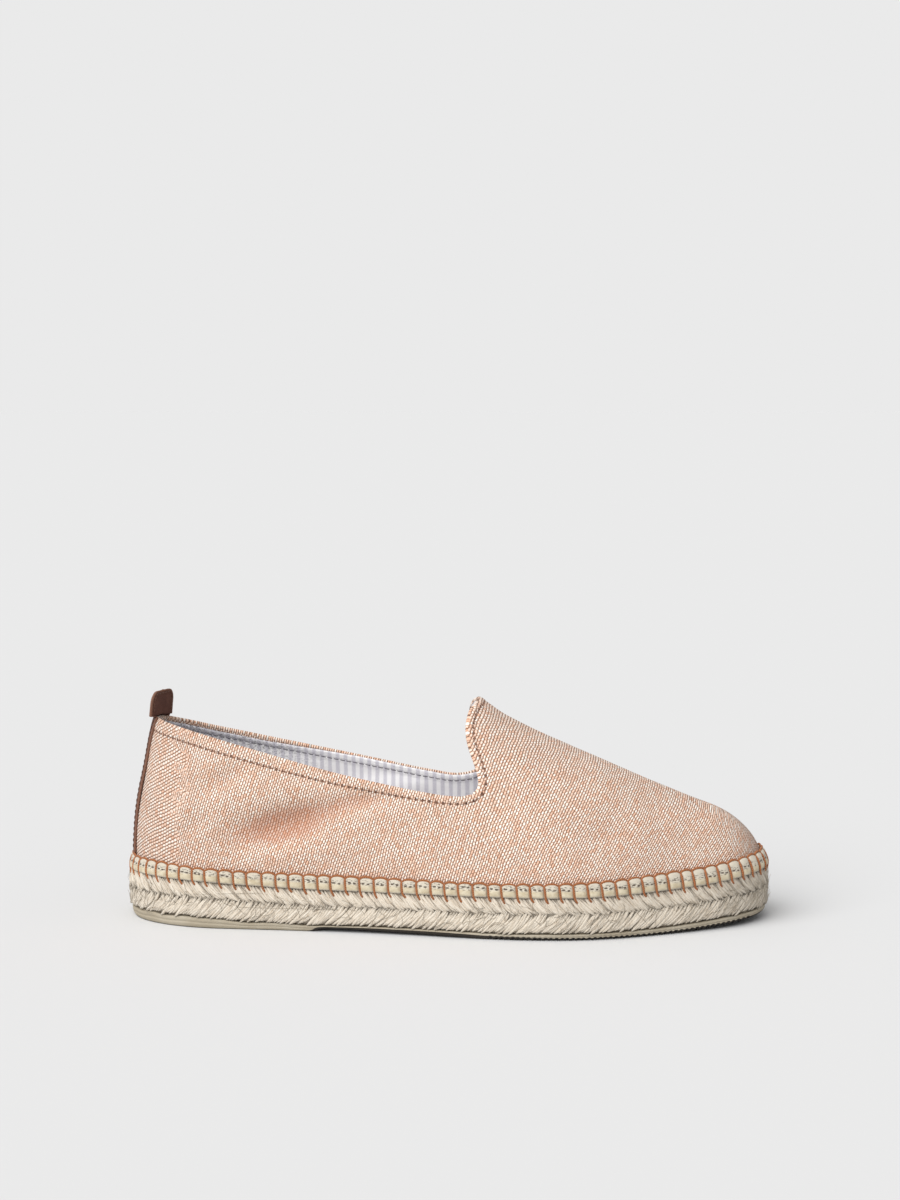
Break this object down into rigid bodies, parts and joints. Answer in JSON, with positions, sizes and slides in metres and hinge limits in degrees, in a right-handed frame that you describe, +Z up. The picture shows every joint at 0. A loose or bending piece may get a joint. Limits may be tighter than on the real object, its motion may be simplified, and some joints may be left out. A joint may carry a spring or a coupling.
{
  "type": "espadrille",
  "caption": "Slip-on espadrille: soft woven canvas upper with a leather pull tab at the heel, on a braided jute sole with a thin rubber outsole.",
  "frame": {"origin": "middle of the bounding box, on the floor that the sole stands on", "axes": "+X from heel to toe, +Y to the medial (inner) side, +Z up"},
  "size_m": [0.29, 0.1009, 0.1018],
  "materials": {
    "rubber_outsole": "matt crepe-coloured rubber with fine parallel grooves on its edge",
    "jute_braid": "undyed braided jute, dry and fibrous",
    "cotton_tape": "cream cotton tape under blanket stitches",
    "canvas": "coarse diagonal weave of peach and cream yarns",
    "brown_leather": "dark brown leather, suede on its inner face",
    "lining_cotton": "white cotton with fine grey-lilac stripes",
    "rust_thread": "thick rust-brown waxed cotton thread"
  },
  "bodies": {
    "root": {"outsole": "rubber_outsole", "jute_sole": "jute_braid", "welt_tape": "cotton_tape", "upper": "canvas", "heel_tab": "brown_leather", "insole": "lining_cotton"}
  },
  "joints": []
}
